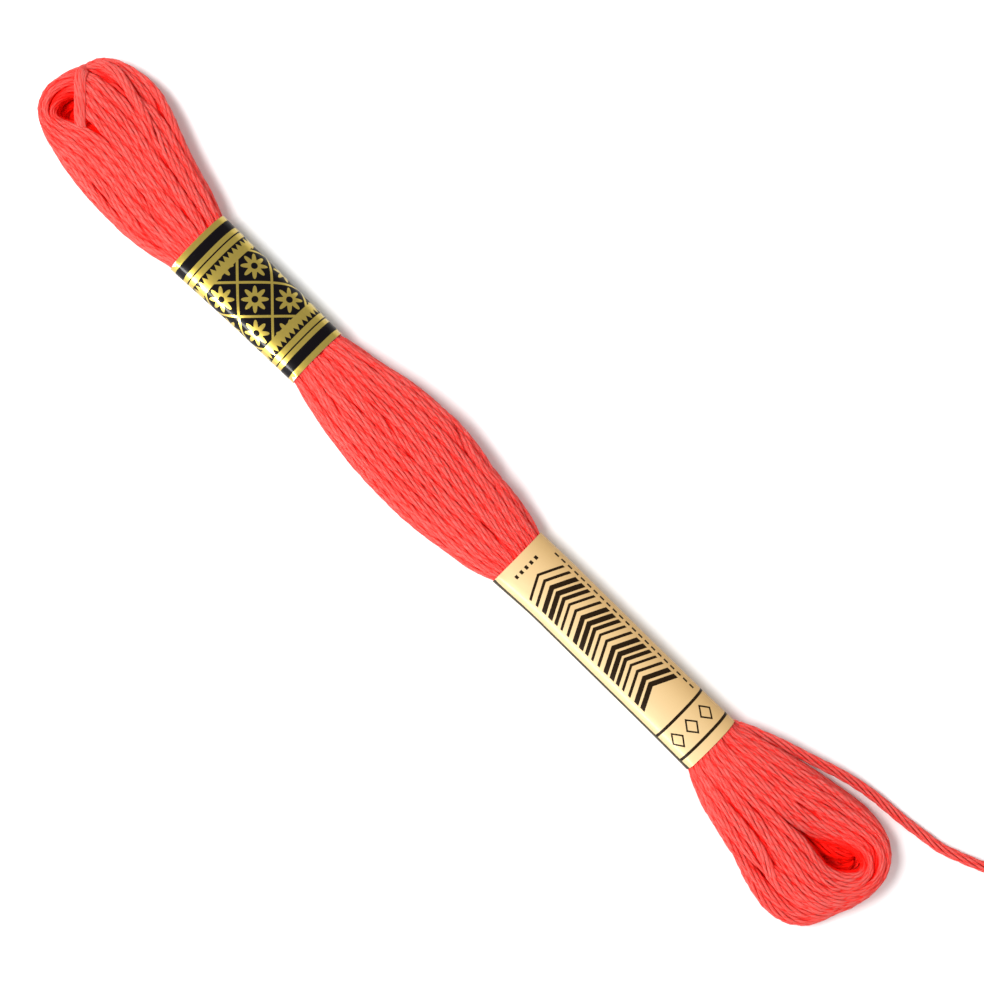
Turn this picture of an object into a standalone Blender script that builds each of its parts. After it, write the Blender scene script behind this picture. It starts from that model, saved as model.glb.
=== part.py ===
"""Skein of six-strand embroidery floss, held by a short and a long paper band.

The skein lies on its flat side. +X runs along it from the end by the short band to the
end by the long band, +Y is its side with the loose end, +Z is up, and the origin is the
middle of its underside. Every size is in millimetres until a mesh is written in metres.
"""

import math

import bmesh
import bpy
import numpy as np

MM = 0.001

# Paper bands: each is a closed tube, wider at one mouth than at the other.
BAND_WALL = 0.5
GAP = 0.38
SHORT_BAND = (
    # x, minus Y edge, plus Y edge, underside, top
    (-52.85, -5.80, 5.20, 0.30, 7.20),
    (-40.80, -5.35, 5.10, 0.30, 7.10),
    (-28.60, -5.10, 5.00, 0.30, 7.00),
)
LONG_BAND = (
    # x, minus Y edge, plus Y edge, underside, top
    (12.85, -5.35, 4.70, 0.30, 6.90),
    (22.00, -4.95, 4.80, 0.30, 6.80),
    (43.00, -4.95, 4.80, 0.30, 6.80),
    (52.25, -5.05, 4.90, 0.30, 6.90),
)

# Open stretches of the skein. The crown is where its top lies between its two edges. An
# underside below zero is cut level at zero, which is the flat that the skein rests on.
BODY = (
    # x, minus Y edge, crown, plus Y edge, underside, top
    (-76.0, -5.80, 0.20, 11.45, -0.50, 6.40),
    (-73.6, -6.15, 1.00, 11.50, -0.50, 6.60),
    (-70.7, -6.60, 1.60, 11.15, -0.50, 6.80),
    (-67.7, -6.80, 1.50, 10.20, -0.50, 7.00),
    (-64.8, -6.90, 1.00, 9.00, -0.50, 7.30),
    (-61.9, -7.00, 0.60, 8.20, -0.40, 7.60),
    (-59.0, -6.80, 0.25, 7.30, -0.20, 7.70),
    (-56.1, -6.40, 0.00, 6.40, 0.10, 7.60),
    (-54.2, -5.60, -0.15, 5.30, 0.50, 7.10),
    (-27.4, -5.10, -0.05, 5.00, 0.50, 6.90),
    (-25.4, -5.70, -0.10, 5.45, 0.20, 7.30),
    (-22.5, -6.30, -0.20, 5.85, -0.10, 7.70),
    (-19.6, -6.90, -0.25, 6.40, -0.30, 8.00),
    (-16.6, -7.35, -0.15, 7.05, -0.50, 8.20),
    (-12.5, -7.85, -0.10, 7.60, -0.60, 8.40),
    (-7.9, -8.10, -0.10, 7.90, -0.60, 8.50),
    (-3.5, -8.05, -0.25, 7.50, -0.60, 8.45),
    (1.0, -7.65, -0.40, 6.90, -0.50, 8.20),
    (5.3, -7.00, -0.40, 6.25, -0.30, 7.80),
    (9.0, -6.45, -0.40, 5.60, -0.10, 7.40),
    (11.6, -5.50, -0.30, 4.85, 0.50, 6.80),
    (53.5, -5.40, -0.50, 4.20, 0.50, 6.80),
    (56.4, -6.90, -0.80, 4.60, 0.10, 7.30),
    (59.3, -7.75, -0.90, 5.70, -0.20, 7.60),
    (62.2, -8.45, -0.80, 6.55, -0.40, 7.70),
    (65.0, -9.50, -0.50, 7.50, -0.50, 7.60),
    (67.5, -10.50, -0.30, 8.10, -0.50, 7.50),
)

# The two end loops, each from the minus side round the tip to the plus side: a point of
# the eye's edge, the point of the outline facing it, and the height of the threads near
# each of the two.
SHORT_END_LOOP = (
    # eye x, eye y, outline x, outline y, height by the eye, height by the outline
    (-76.0, 0.2, -76.0, -5.80, 6.4, 6.4),
    (-77.6, -0.9, -77.9, -5.35, 6.3, 6.3),
    (-79.2, -1.4, -79.9, -4.75, 6.1, 6.1),
    (-80.5, -1.0, -81.9, -3.80, 5.9, 5.9),
    (-81.3, -0.1, -83.3, -2.00, 5.7, 5.7),
    (-81.6, 0.8, -84.1, 0.40, 5.6, 5.6),
    (-81.4, 1.8, -84.1, 3.00, 5.6, 5.6),
    (-81.0, 2.4, -83.5, 5.20, 5.7, 5.6),
    (-80.5, 2.7, -82.5, 6.90, 5.9, 5.6),
    (-79.9, 2.9, -82.1, 8.90, 6.2, 5.6),
    (-78.9, 2.7, -80.5, 10.55, 6.5, 5.8),
    (-77.6, 1.8, -78.2, 11.30, 6.6, 6.2),
    (-76.0, 0.2, -76.0, 11.45, 6.4, 6.4),
)
LONG_END_LOOP = (
    # eye x, eye y, outline x, outline y, height by the eye, height by the outline
    (67.5, -0.3, 67.5, -10.50, 7.5, 7.5),
    (70.5, -0.9, 70.9, -11.30, 7.5, 6.2),
    (73.5, -1.1, 74.2, -11.80, 7.5, 5.0),
    (76.0, -0.9, 77.5, -11.55, 7.4, 4.4),
    (77.8, -0.3, 80.2, -10.10, 7.3, 4.2),
    (79.0, 0.5, 81.9, -7.50, 7.1, 4.6),
    (79.7, 1.3, 82.9, -4.60, 6.8, 5.6),
    (80.0, 2.0, 84.0, -0.80, 6.5, 6.4),
    (79.9, 2.6, 84.1, 2.40, 6.5, 6.5),
    (79.4, 3.2, 83.4, 5.40, 6.6, 6.6),
    (78.5, 3.6, 81.8, 7.50, 6.8, 6.8),
    (77.0, 3.7, 79.5, 8.80, 7.0, 7.0),
    (74.8, 3.4, 76.1, 9.35, 7.2, 7.2),
    (72.3, 2.7, 72.8, 9.15, 7.3, 7.3),
    (69.8, 1.3, 69.9, 8.60, 7.4, 7.4),
    (67.5, -0.3, 67.5, 8.10, 7.5, 7.5),
)
LOOP_UNDER = -0.5
OPENING_OUT = 0.16  # share of a loop's way in which its leg parts from the other one
LEG_CROWN = math.radians(-22)  # where a leg's outer arc starts, on the eye's side of its top

# Single lines on the upper side, each a short route: a thread that lies across the rim
# at the short band's end, the hollow beside that end's outer threads, and the step
# between the upper and the lower threads of the other end.
TRACES = (
    # half width, rise, route in X and Y
    (0.9, 0.8, ((-83.2, 6.8), (-79.6, 3.3), (-75.6, -0.3))),
    (1.0, -1.1, ((-81.6, 7.6), (-78.6, 9.0), (-74.4, 9.4), (-69.5, 7.2))),
    (1.0, -0.9, ((64.0, -8.8), (71.8, -5.6), (78.4, -4.5), (83.4, -4.3))),
)
TRACE_FADE = 1.5
UPPER_SIDE = 3.0  # height about which a section turns from its side to its upper side

# Ridges of thread: the main set follows the skein with a slow turn round it, and a
# second set crosses it, so that no two ridges are alike.
FLARE = 2.5
RIDGES, RIDGE_RISE, RIDGE_TURN = 12, 0.26, -0.085
CROSS_RIDGES, CROSS_RISE, CROSS_TURN = 7, 0.16, -0.015

# Loose end: one thread, from the long band's mouth down to the surface and along it.
THREAD_DIAMETER = 1.6
LOOSE_END = (
    # x, y, z
    (52.7, 5.40, 3.60),
    (56.4, 6.05, 3.45),
    (59.3, 7.15, 3.15),
    (62.2, 8.05, 2.80),
    (65.6, 9.10, 2.35),
    (68.6, 10.05, 1.95),
    (71.8, 10.85, 1.55),
    (75.2, 11.40, 1.20),
    (78.2, 11.65, 0.95),
    (81.0, 11.90, 0.85),
    (84.0, 12.30, 0.82),
    (87.2, 12.75, 0.82),
    (89.8, 13.60, 0.82),
    (93.3, 15.00, 0.82),
    (96.6, 16.55, 0.82),
    (100.2, 17.75, 0.82),
    (104.4, 18.10, 0.82),
)
LOOSE_END_STEPS = 32

SQUARENESS = 2.35  # 2 is an ellipse, and more is a fuller oval

# Detail of the meshes: corners round the body, corners up the wall of an eye, the length
# between two rings of the body, and the rings of each loop.
AROUND = 48
DEEP = 9
BODY_STEP = 2.4
SHORT_LOOP_STEPS, LONG_LOOP_STEPS = 28, 38
SMOOTH_UP_TO = math.radians(50)


def eased(at, places, values):
    """Cubic curve through the values that never runs past them between two places."""
    width = np.diff(places)
    steep = np.diff(values) / width
    slope = np.zeros_like(values)
    same = steep[:-1] * steep[1:] > 0
    mean = 2 * steep[:-1] * steep[1:] / np.where(same, steep[:-1] + steep[1:], 1)
    slope[1:-1] = np.where(same, mean, 0)
    slope[0], slope[-1] = steep[0], steep[-1]
    i = np.clip(np.searchsorted(places, at, side="right") - 1, 0, len(width) - 1)
    t = (at - places[i]) / width[i]
    rise = values[i] * (1 + 2 * t) * (1 - t) ** 2 + values[i + 1] * (3 - 2 * t) * t**2
    return rise + width[i] * t * (1 - t) * (slope[i] * (1 - t) - slope[i + 1] * t)


def flowing(rows, count):
    """Smooth curve through the rows, each one the same share of the way."""
    table = np.array(rows, float)
    slope = np.gradient(table, axis=0)
    way = np.linspace(0, len(table) - 1, count)
    i = np.minimum(way.astype(int), len(table) - 2)
    t = (way - i)[:, None]
    rise = table[i] * (1 + 2 * t) * (1 - t) ** 2 + table[i + 1] * (3 - 2 * t) * t**2
    return rise + t * (1 - t) * (slope[i] * (1 - t) - slope[i + 1] * t)


def smoothstep(value):
    value = np.clip(value, 0, 1)
    return value * value * (3 - 2 * value)


def rounded(value):
    """Turn a sine or cosine into the flatter wave of a squarish oval."""
    return np.sign(value) * np.abs(value) ** (2 / SQUARENESS)


def oval(minus, crown, plus, under, top, angle):
    """Y and Z round a section, from its crown by way of its minus side."""
    side = rounded(np.sin(angle))
    y = crown - np.where(side > 0, (crown - minus) * side, (plus - crown) * side)
    z = (under + top) / 2 + (top - under) / 2 * rounded(np.cos(angle))
    return y, z


def held_rows(band):
    """The skein's own section at the band's mouths and inside it, clear of the paper."""
    inset = BAND_WALL + GAP
    return [
        (x, minus + inset, (minus + plus) / 2, plus - inset, under + inset, top - inset)
        for x, minus, plus, under, top in band
    ]


def body_table():
    rows = list(BODY) + held_rows(SHORT_BAND) + held_rows(LONG_BAND)
    return sorted(rows)


def body_stations():
    """Places along the skein: even steps in the open, only the table's rows in a band."""
    places = []
    for start, end in (
        (BODY[0][0], SHORT_BAND[0][0]),
        (SHORT_BAND[-1][0], LONG_BAND[0][0]),
        (LONG_BAND[-1][0], BODY[-1][0]),
    ):
        places += list(np.linspace(start, end, round((end - start) / BODY_STEP) + 1))
    places += [row[0] for row in SHORT_BAND[1:-1] + LONG_BAND[1:-1]]
    return np.array(sorted(places))


def ridge_height(angle, way, share):
    """How far the threads stand proud: share is 0 where a band presses them flat."""
    main = RIDGE_RISE * np.cos(RIDGES * angle + math.tau * RIDGE_TURN * way)
    cross = CROSS_RISE * np.cos(CROSS_RIDGES * angle + math.tau * CROSS_TURN * way)
    return (main + cross) * share


def outward(y, z):
    """Unit normals of a closed ring in its own plane, pointing out of it."""
    dy = np.roll(y, -1, -1) - np.roll(y, 1, -1)
    dz = np.roll(z, -1, -1) - np.roll(z, 1, -1)
    size = np.hypot(dy, dz)
    return dz / size, -dy / size


def free_share(x):
    """1 where the threads lie free, falling to 0 over FLARE before a band."""
    share = np.ones_like(x)
    for band in (SHORT_BAND, LONG_BAND):
        outside = np.maximum(band[0][0] - x, x - band[-1][0])
        share = np.minimum(share, smoothstep(outside / FLARE))
    return share


def trace_height(x, y):
    """Rise or fall of the single lines: a soft hump across each line's way, by the
    distance to the nearest point of its route, that fades out at both ends."""
    height = np.zeros_like(x)
    for half_width, rise, route in TRACES:
        corners = np.array(route)
        hump = np.zeros_like(x)
        for i, (start, end) in enumerate(zip(corners, corners[1:])):
            along = end - start
            length = np.hypot(*along)
            along = along / length
            way = (x - start[0]) * along[0] + (y - start[1]) * along[1]
            beside = (y - start[1]) * along[0] - (x - start[0]) * along[1]
            past = np.maximum(np.maximum(-way, way - length), 0)
            fade = TRACE_FADE if i in (0, len(corners) - 2) else half_width
            near = np.exp(-((beside / half_width) ** 2) - (past / fade) ** 2)
            hump = np.maximum(hump, near)
        height += rise * hump
    return height


def body_rings():
    """All rings of the body, one row for each station."""
    x = body_stations()
    share = free_share(x)
    places, *edges = np.array(body_table()).T
    angle = np.arange(AROUND) * math.tau / AROUND
    edges = [eased(x, places, values)[:, None] for values in edges]
    y, z = oval(*edges, angle[None, :])
    out_y, out_z = outward(-y, z)
    rise = ridge_height(angle[None, :], x[:, None], share[:, None])
    y = y - rise * out_y
    z = z + rise * out_z
    x = np.broadcast_to(x[:, None], y.shape)
    z = z + trace_height(x, y) * smoothstep(z / UPPER_SIDE - 0.5)
    return np.stack([x, y, np.maximum(z, 0)], -1)


def loop_rings(rows, count, body_ring, start_x):
    """Rings of one end loop between its two joins to the body.

    Each ring has the outer arc, from its top by way of the outline to its underside,
    and then the inner chain that climbs the wall of the eye."""
    arc = AROUND // 2 + 1
    eye_x, eye_y, out_x, out_y, eye_top, out_top = flowing(rows, count).T[:, :, None]
    # Angle round an oval leg, 0 at its top, growing over the outline's side.
    outer = np.linspace(LEG_CROWN, math.pi - LEG_CROWN, arc)
    inner = np.linspace(math.pi - LEG_CROWN, math.tau + LEG_CROWN, DEEP + 2)[1:-1]
    angle = np.concatenate([outer, inner])[None, :]
    across = rounded(np.sin(angle)) + 0 * eye_x
    top = eye_top + (out_top - eye_top) * (across + 1) / 2
    z = (top + LOOP_UNDER) / 2 + (top - LOOP_UNDER) / 2 * rounded(np.cos(angle))
    wide = np.hypot(out_x - eye_x, out_y - eye_y) / 2
    out_w, out_z = outward(-across * wide, z)
    way = np.linspace(0, 1, count)[:, None]
    middle = np.stack([(eye_x + out_x) / 2, (eye_y + out_y) / 2], -1)[:, 0]
    path = np.hypot(*np.diff(middle, axis=0).T).sum()
    rise = ridge_height(angle, start_x + way * path, 1.0)
    share = 0.5 + (across * wide - rise * out_w) / wide / 2
    x = eye_x + (out_x - eye_x) * share
    y = eye_y + (out_y - eye_y) * share
    z = z + rise * out_z
    z = z + trace_height(x, y) * smoothstep(z / UPPER_SIDE - 0.5)
    rings = np.stack([x, y, z], -1)
    rings[..., 2] = np.maximum(rings[..., 2], 0)
    # At both joins the leg is one half of the body's ring, closed by the inner chain.
    first, last = join_rings(body_ring, arc)
    near = smoothstep(way / OPENING_OUT)[..., None]
    far = smoothstep((1 - way) / OPENING_OUT)[..., None]
    rings = rings * near + (first + shift_of(rings, rings[:1])) * (1 - near)
    rings = rings * far + (last + shift_of(rings, rings[-1:])) * (1 - far)
    rings[..., 2] = np.maximum(rings[..., 2], 0)
    return rings


def shift_of(rings, at):
    """How far each ring's middle has moved from the ring at a join, level ways only."""
    move = rings.mean(1, keepdims=True) - at.mean(1, keepdims=True)
    move[..., 2] = 0
    return move


def join_rings(body_ring, arc):
    """The body's minus half and plus half, each with the chain through its middle."""
    foot, crown = body_ring[AROUND // 2], body_ring[0]
    climb = np.linspace(0, 1, DEEP + 2)[1:-1, None]
    chain = foot + (crown - foot) * climb
    minus_half = body_ring[:arc]
    plus_half = body_ring[(-np.arange(arc)) % AROUND]
    return np.concatenate([minus_half, chain]), np.concatenate([plus_half, chain])


def build_skein(finish):
    body = body_rings()
    stations = len(body)
    bm = bmesh.new()
    grid = [[bm.verts.new(point * MM) for point in ring] for ring in body]
    for ring, following in zip(grid, grid[1:]):
        strip(bm, ring, following)
    for station, rows, count in (
        (0, SHORT_END_LOOP, SHORT_LOOP_STEPS),
        (stations - 1, LONG_END_LOOP, LONG_LOOP_STEPS),
    ):
        rings = loop_rings(rows, count, body[station], body[station, 0, 0])
        base = grid[station]
        arc = AROUND // 2 + 1
        chain = [bm.verts.new(point * MM) for point in rings[0, arc:]]
        legs = [base[:arc] + chain]
        for ring in rings[1:-1]:
            legs.append([bm.verts.new(point * MM) for point in ring])
        legs.append([base[-i % AROUND] for i in range(arc)] + chain)
        for ring, following in zip(legs, legs[1:]):
            strip(bm, ring, following)
    bmesh.ops.recalc_face_normals(bm, faces=bm.faces)
    bmesh.ops.triangulate(bm, faces=bm.faces)
    return place("skein", bm, finish)


def strip(bm, ring, following):
    """Quads between two closed rings of the same number of corners."""
    for i, corner in enumerate(ring):
        after = (i + 1) % len(ring)
        bm.faces.new((corner, ring[after], following[after], following[i]))


def build_band(name, rows, finish):
    """Closed tube of paper: outer wall, one mouth, inner wall and the other mouth."""
    angle = np.arange(AROUND) * math.tau / AROUND
    walls = []
    for inset, along in ((0.0, rows), (BAND_WALL, rows[::-1])):
        for x, minus, plus, under, top in along:
            middle = (minus + plus) / 2
            edges = (minus + inset, middle, plus - inset, under + inset, top - inset)
            y, z = oval(*edges, angle)
            walls.append(np.stack([np.full(AROUND, x), y, z], -1))
    bm = bmesh.new()
    rings = [[bm.verts.new(point * MM) for point in wall] for wall in walls]
    for ring, following in zip(rings, rings[1:] + rings[:1]):
        strip(bm, ring, following)
    bmesh.ops.recalc_face_normals(bm, faces=bm.faces)
    return place(name, bm, finish)


def build_loose_end(finish):
    """Round thread along a smooth curve through its route, with closed ends."""
    points = flowing(LOOSE_END, LOOSE_END_STEPS)
    curve = bpy.data.curves.new("loose_end", "CURVE")
    curve.dimensions = "3D"
    curve.bevel_depth = THREAD_DIAMETER / 2 * MM
    curve.bevel_resolution = 2
    curve.use_fill_caps = True
    spline = curve.splines.new("POLY")
    spline.points.add(len(points) - 1)
    for corner, point in zip(spline.points, points):
        corner.co = (*(point * MM), 1)
    curve.materials.append(finish)
    thread = bpy.data.objects.new("loose_end", curve)
    bpy.context.scene.collection.objects.link(thread)
    return thread


def place(name, bm, finish):
    """Write a mesh as a named object with its material and smooth shading."""
    mesh = bpy.data.meshes.new(name)
    bm.to_mesh(mesh)
    bm.free()
    mesh.materials.append(finish)
    mesh.shade_smooth()
    mesh.set_sharp_from_angle(angle=SMOOTH_UP_TO)
    piece = bpy.data.objects.new(name, mesh)
    bpy.context.scene.collection.objects.link(piece)
    return piece


def finish_of(name, colour, roughness, metallic=0.0):
    material = bpy.data.materials.new(name)
    material.use_nodes = True
    shader = material.node_tree.nodes["Principled BSDF"]
    shader.inputs["Base Color"].default_value = (*colour, 1)
    shader.inputs["Roughness"].default_value = roughness
    shader.inputs["Metallic"].default_value = metallic
    material.diffuse_color = (*colour, 1)
    return material


def main():
    for piece in list(bpy.data.objects):
        bpy.data.objects.remove(piece)
    floss = finish_of("floss", (0.85, 0.07, 0.06), 0.7)
    gold_paper = finish_of("gold_paper", (0.55, 0.42, 0.12), 0.35, 0.6)
    cream_paper = finish_of("cream_paper", (0.90, 0.70, 0.38), 0.45)
    build_skein(floss)
    build_band("band_short", SHORT_BAND, gold_paper)
    build_band("band_long", LONG_BAND, cream_paper)
    build_loose_end(floss)


main()
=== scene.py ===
"""Looks of a skein of six-strand embroidery floss, held by two paper bands.

The skein lies as in the row frame: +X from the short band's end to the long band's end,
+Y towards the loose end, +Z up. Sizes here are in millimetres, and MM turns them into
metres where a mesh, a lamp or the camera is made.
"""

import math

import bpy
import numpy as np
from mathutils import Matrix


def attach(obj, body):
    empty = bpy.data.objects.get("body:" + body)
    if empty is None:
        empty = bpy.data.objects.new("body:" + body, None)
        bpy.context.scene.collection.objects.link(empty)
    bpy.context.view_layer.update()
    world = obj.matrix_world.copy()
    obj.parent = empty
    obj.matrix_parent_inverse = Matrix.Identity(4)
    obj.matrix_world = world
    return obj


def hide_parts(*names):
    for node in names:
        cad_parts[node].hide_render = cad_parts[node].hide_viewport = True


MM = 0.001
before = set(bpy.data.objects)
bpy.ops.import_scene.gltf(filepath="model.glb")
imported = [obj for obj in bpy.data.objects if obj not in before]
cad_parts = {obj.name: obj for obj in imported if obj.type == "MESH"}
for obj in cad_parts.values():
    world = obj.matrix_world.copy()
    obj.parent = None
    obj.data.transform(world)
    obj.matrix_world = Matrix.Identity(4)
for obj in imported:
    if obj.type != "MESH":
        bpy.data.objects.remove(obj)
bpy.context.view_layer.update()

# ---- camera, floor and light

VIEW_CENTRE = (3.65, 3.9)  # what the middle of the picture shows, in X and Y
VIEW_WIDTH = 143.7
VIEW_TURN = 44.5  # degrees from +X to the picture's right
VIEW_HEIGHT = 3.5  # height at which the picture is that wide
LENS, SENSOR = 90, 36
CLIP_START, CLIP_END = 0.01, 20  # in metres

FLOOR_SIDE = 4000
FLOOR_WHITE = (0.9, 0.9, 0.9, 1)

WORLD_WHITE, WORLD_STRENGTH = (1, 1, 1, 1), 0.6
DIFFUSE_BOUNCES = 8  # light deep among the strands stays red
LAMPS = (
    # name, place, width and height, power, shows in gloss, lights
    ("key_lamp", (-220, -165, 600), (260, 200), 4.2, False, True),
    ("side_lamp", (0, -420, 170), (420, 160), 0.65, True, True),
    ("glint_lamp", (0, -900, 300), (900, 170), 22, True, False),
)


def add(name, data):
    """A new object in the scene, which holds this data."""
    thing = bpy.data.objects.new(name, data)
    bpy.context.scene.collection.objects.link(thing)
    return thing


def set_camera():
    """Straight above the skein, turned so that it runs across the picture's corners."""
    lens = bpy.data.cameras.new("camera")
    lens.lens = LENS
    lens.sensor_width = SENSOR
    lens.clip_start, lens.clip_end = CLIP_START, CLIP_END
    camera = add("camera", lens)
    away = VIEW_WIDTH * LENS / SENSOR
    camera.location = [c * MM for c in (*VIEW_CENTRE, VIEW_HEIGHT + away)]
    camera.rotation_euler = (0, 0, math.radians(VIEW_TURN))
    bpy.context.scene.camera = camera


def set_lamp(name, place, size, power, in_gloss, lights):
    """A soft rectangular lamp at a place, which faces the origin. It shows in gloss,
    lights what is dull, or does both."""
    lamp = bpy.data.lights.new(name, "AREA")
    lamp.shape = "RECTANGLE"
    lamp.size, lamp.size_y = (s * MM for s in size)
    lamp.energy = power
    holder = add(name, lamp)
    holder.visible_glossy = in_gloss
    holder.visible_diffuse = lights
    from_there = np.zeros(3) - np.array(place, float)
    holder.location = [c * MM for c in place]
    holder.rotation_euler = (
        math.atan2(math.hypot(*from_there[:2]), -from_there[2]),
        0,
        math.atan2(from_there[1], from_there[0]) - math.pi / 2,
    )


def set_studio():
    """White surroundings, the lamps, and colours that are shown without a film's curve."""
    scene = bpy.context.scene
    world = bpy.data.worlds.new("studio")
    world.use_nodes = True
    background = world.node_tree.nodes["Background"]
    background.inputs["Color"].default_value = WORLD_WHITE
    background.inputs["Strength"].default_value = WORLD_STRENGTH
    scene.world = world
    scene.view_settings.view_transform = "Standard"
    scene.cycles.diffuse_bounces = DIFFUSE_BOUNCES
    for lamp in LAMPS:
        set_lamp(*lamp)


# ---- materials


class Wire:
    """A number on its way through a material. Arithmetic on it adds Math nodes."""

    def __init__(self, finish, socket):
        self.finish = finish
        self.socket = socket

    def __add__(self, other):
        return self.finish.maths("ADD", self, other)

    def __sub__(self, other):
        return self.finish.maths("SUBTRACT", self, other)

    def __rsub__(self, other):
        return self.finish.maths("SUBTRACT", other, self)

    def __mul__(self, other):
        return self.finish.maths("MULTIPLY", self, other)

    def __truediv__(self, other):
        return self.finish.maths("DIVIDE", self, other)

    def __gt__(self, other):
        return self.finish.maths("GREATER_THAN", self, other)

    def __lt__(self, other):
        return self.finish.maths("LESS_THAN", self, other)

    __radd__ = __add__
    __rmul__ = __mul__


class Finish:
    """A material in the making: a Principled shader and the nodes that feed it."""

    def __init__(self, name, **constants):
        self.material = bpy.data.materials.new(name)
        self.material.use_nodes = True
        self.tree = self.material.node_tree
        self.shader = self.tree.nodes["Principled BSDF"]
        self.wear(**constants)

    def feed(self, socket, value):
        """Link a wire or an output to the socket, or set the socket to a value."""
        value = getattr(value, "socket", value)
        if isinstance(value, bpy.types.NodeSocket):
            self.tree.links.new(value, socket)
        else:
            socket.default_value = value

    def node(self, kind, settings, inputs, output=0):
        """Any node: its settings first, then its sockets. Gives one output's wire."""
        node = self.tree.nodes.new("ShaderNode" + kind)
        for name, value in settings.items():
            setattr(node, name, value)
        for name, value in inputs.items():
            self.feed(node.inputs[name], value)
        return Wire(self, node.outputs[output])

    def maths(self, operation, *values):
        """A Math node on wires or numbers."""
        return self.node("Math", {"operation": operation}, dict(enumerate(values)))

    def mix(self, share, first, second):
        """Colour from first, where share is 0, to second, where it is 1."""
        places = {0: share, 6: first, 7: second}
        return self.node("Mix", {"data_type": "RGBA"}, places, 2)

    def either(self, *masks):
        """1 where any of the masks is 1."""
        joint = masks[0]
        for mask in masks[1:]:
            joint = self.maths("MAXIMUM", joint, mask)
        return joint

    def uv(self, name):
        """The two numbers of a UV map."""
        both = self.node("UVMap", {"uv_map": name}, {})
        return [self.node("SeparateXYZ", {}, {0: both}, i) for i in (0, 1)]

    def joined(self, x, y, z=0.0):
        """Three numbers as one vector."""
        return self.node("CombineXYZ", {}, {0: x, 1: y, 2: z})

    def noise(self, vector, scale, detail=2.0):
        """Cloudy noise about 0.5, with this many cells to one unit of the vector."""
        inputs = {"Vector": vector, "Scale": scale, "Detail": detail}
        return self.node("TexNoise", {}, inputs)

    def wear(self, **links):
        """Feed the shader's sockets with wires or with values."""
        for socket, value in links.items():
            self.feed(self.shader.inputs[socket.replace("_", " ")], value)

    def bump(self, height, distance, strength=1.0):
        """Relief in the shading, as deep as the distance where the height goes from 0 to 1."""
        inputs = {"Height": height, "Distance": distance, "Strength": strength}
        self.wear(Normal=self.node("Bump", {}, inputs))


FLOSS_BRIGHT = (0.74, 0.127, 0.112, 1)
# The darker tone: given where the fibres' random tone is low, and as painted shade in the plies'
# furrows.
FLOSS_DEEP = (0.80, 0.030, 0.023, 1)
FLOSS_PAINTED_SHADE = (1.0, 0.008, 0.004, 1)  # painted shade: the saturated red painted on strands that little light reaches
FIBRE_TURNS = 0.16  # how often the fibres go round their strand in a millimetre
PLIES, PLY_PASSES = 2, 0.5  # plies of a strand, and furrows passed in a millimetre
FURROW_SLOPE = 1.8  # a furrow is this much narrower than a half wave
FIBRE, HAIR, DYE = (0.45, 4.5), (0.8, 8), (0.12, 0.6)  # noise in a millimetre, in a turn
SHADE_GAIN, SHADE_OFFSET = 3.4, -1.32  # stretch the mean of noises over 0 to 1
FLOSS_RELIEF = 0.06


def floss_finish():
    """Mercerised cotton: a strand's two plies, |sin(pi (passes along + plies round))|, and
    its fibres are relief, and the plies' furrows are also painted darker as painted shade.
    Its UV map is millimetres along the strand and turns round it, and the other UV map holds
    how open to its surroundings the strand is, which paints shade on strands closed in."""
    floss = Finish(
        "floss",
        Specular_IOR_Level=0.03,
        Subsurface_Weight=0.3,
        Subsurface_Radius=(1.0, 0.10, 0.08),
        Subsurface_Scale=0.5 * MM,
    )
    along, round_it = floss.uv("thread")
    turning = round_it + along * FIBRE_TURNS
    fibre = floss.noise(floss.joined(along * FIBRE[0], turning * FIBRE[1]), 1.0)
    lay = (along * PLY_PASSES + round_it * PLIES + fibre * 1.2) * math.pi
    ply = floss.maths("ABSOLUTE", floss.maths("SINE", lay))
    furrow_shade = floss.maths("MINIMUM", ply * FURROW_SLOPE, 1.0)
    hair = floss.noise(floss.joined(along * HAIR[0], turning * HAIR[1], 3.7), 1.0)
    dye = floss.noise(floss.joined(along * DYE[0], round_it * DYE[1], 9.1), 1.0, 1.0)
    # painted shade: the furrow term darkens the furrows between the plies; fibre, hair and dye
    # are the floss's own random tone
    shade = fibre * 0.28 + hair * 0.3 + dye * 0.2 + furrow_shade * 0.22
    shade = floss.maths("MULTIPLY_ADD", shade, SHADE_GAIN, SHADE_OFFSET)
    tint = floss.mix(shade, FLOSS_DEEP, FLOSS_BRIGHT)
    # painted shade: strands that others close in are painted the saturated red of shaded crevices
    open_share, _ = floss.uv("open")
    tint = floss.mix(open_share, FLOSS_PAINTED_SHADE, tint)
    floss.wear(Base_Color=tint, Roughness=0.4 + fibre * 0.3)
    floss.bump(ply + fibre * 1.3 + hair * 0.8, FLOSS_RELIEF * MM)
    return floss.material


# ---- surfaces and tubes


def surface(name, points, faces, finish, maps=()):
    """A piece from a grid's points in millimetres and its faces, four corners to each.
    maps are UV maps: a name, and the two numbers of each corner of each face."""
    mesh = bpy.data.meshes.new(name)
    mesh.from_pydata(np.reshape(points, (-1, 3)) * MM, [], faces.reshape(-1, 4).tolist())
    mesh.shade_smooth()
    for map_name, numbers in maps:
        layer = mesh.uv_layers.new(name=map_name)
        layer.data.foreach_set("uv", np.asarray(numbers, np.float32).ravel())
    mesh.materials.append(finish)
    return add(name, mesh)


def smoothstep(value):
    """A soft step, v v (3 - 2 v), from 0 up to 1 for a value v from 0 to 1."""
    value = np.clip(value, 0, 1)
    return value * value * (3 - 2 * value)


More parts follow.
